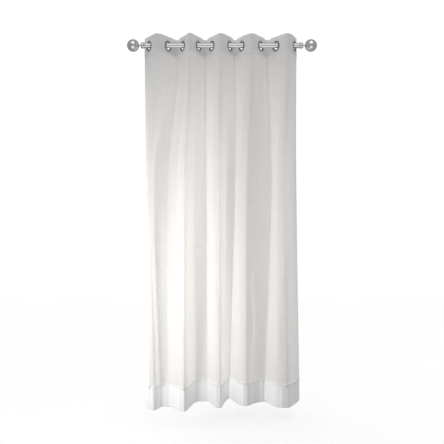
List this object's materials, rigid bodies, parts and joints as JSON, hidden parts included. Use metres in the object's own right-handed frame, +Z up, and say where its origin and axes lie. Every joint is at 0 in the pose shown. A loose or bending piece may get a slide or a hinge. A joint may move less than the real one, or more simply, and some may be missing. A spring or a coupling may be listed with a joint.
{
  "type": "sheer voile curtain on a metal rod",
  "caption": "Sheer white voile curtain with a plain hem and an eyelet heading, hanging in soft uneven folds from a bright metal rod with ball finials.",
  "frame": {"origin": "on the rod's axis, half-way along the rod", "axes": "+X along the rod to the right seen from the front, -Y to the viewer and away from the wall, +Z up"},
  "size_m": [0.94, 0.231, 1.8255],
  "materials": {
    "voile": "fine plain weave, sheer, matt, opaque white in the deep hem",
    "heading_cloth": "stiffened double cloth, silver grey, matt",
    "ring_metal": "satin silver",
    "rod_metal": "polished tube",
    "finial_metal": "polished ball with soft uneven reflections"
  },
  "bodies": {
    "root": {"voile_panel": "voile", "heading_band": "heading_cloth", "eyelet_ring_01": "ring_metal", "eyelet_ring_02": "ring_metal", "eyelet_ring_03": "ring_metal", "eyelet_ring_04": "ring_metal", "eyelet_ring_05": "ring_metal", "eyelet_ring_06": "ring_metal", "eyelet_ring_07": "ring_metal", "eyelet_ring_08": "ring_metal", "eyelet_ring_09": "ring_metal", "eyelet_ring_10": "ring_metal", "rod": "rod_metal", "finial_collar_left": "rod_metal", "finial_collar_right": "rod_metal", "finial_ball_left": "finial_metal", "finial_ball_right": "finial_metal"}
  },
  "joints": []
}
